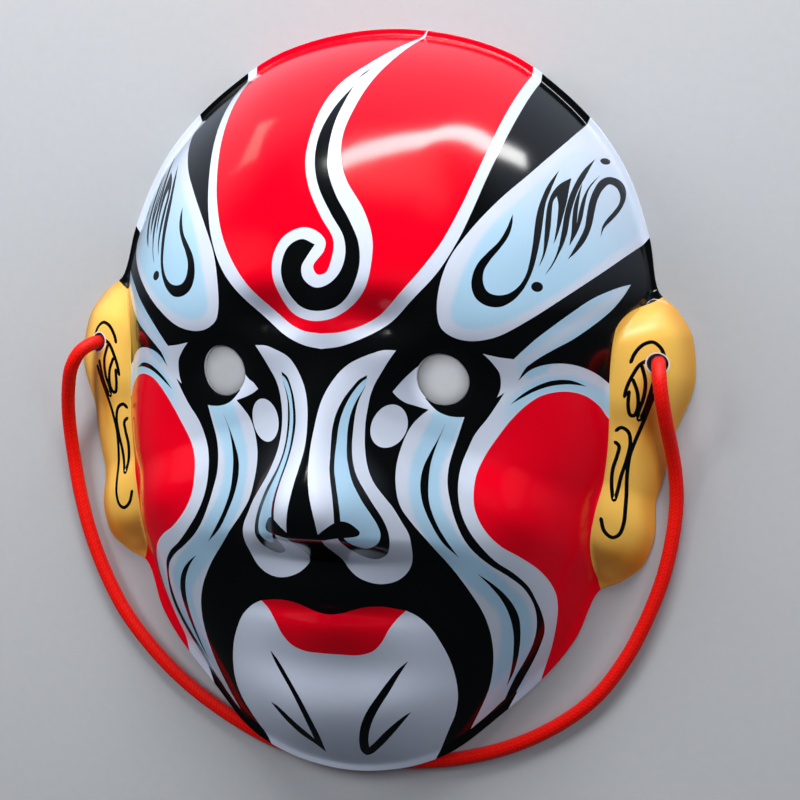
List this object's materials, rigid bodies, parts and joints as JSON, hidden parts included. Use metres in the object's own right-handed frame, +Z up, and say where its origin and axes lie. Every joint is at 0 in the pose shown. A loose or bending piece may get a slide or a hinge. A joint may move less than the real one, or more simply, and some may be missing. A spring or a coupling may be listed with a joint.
{
  "type": "opera mask",
  "caption": "Full-face opera mask: one pressed plastic shell with moulded ears, round eye holes and a painted face pattern, worn by an elastic cord.",
  "frame": {"origin": "in the plane of the rim that the mask lies on, at the middle of its outline", "axes": "+X to the viewer's right across the face, +Y from the chin to the forehead, +Z up, out of the face"},
  "size_m": [0.2018, 0.2321, 0.0735],
  "materials": {
    "painted_plastic": "glossy printed and lacquered sheet plastic, plain white inside",
    "covered_elastic": "round rubber core in a tight braided red cover"
  },
  "bodies": {
    "root": {"mask_shell": "painted_plastic", "elastic_cord": "covered_elastic", "left_knot": "covered_elastic", "right_knot": "covered_elastic"}
  },
  "joints": []
}
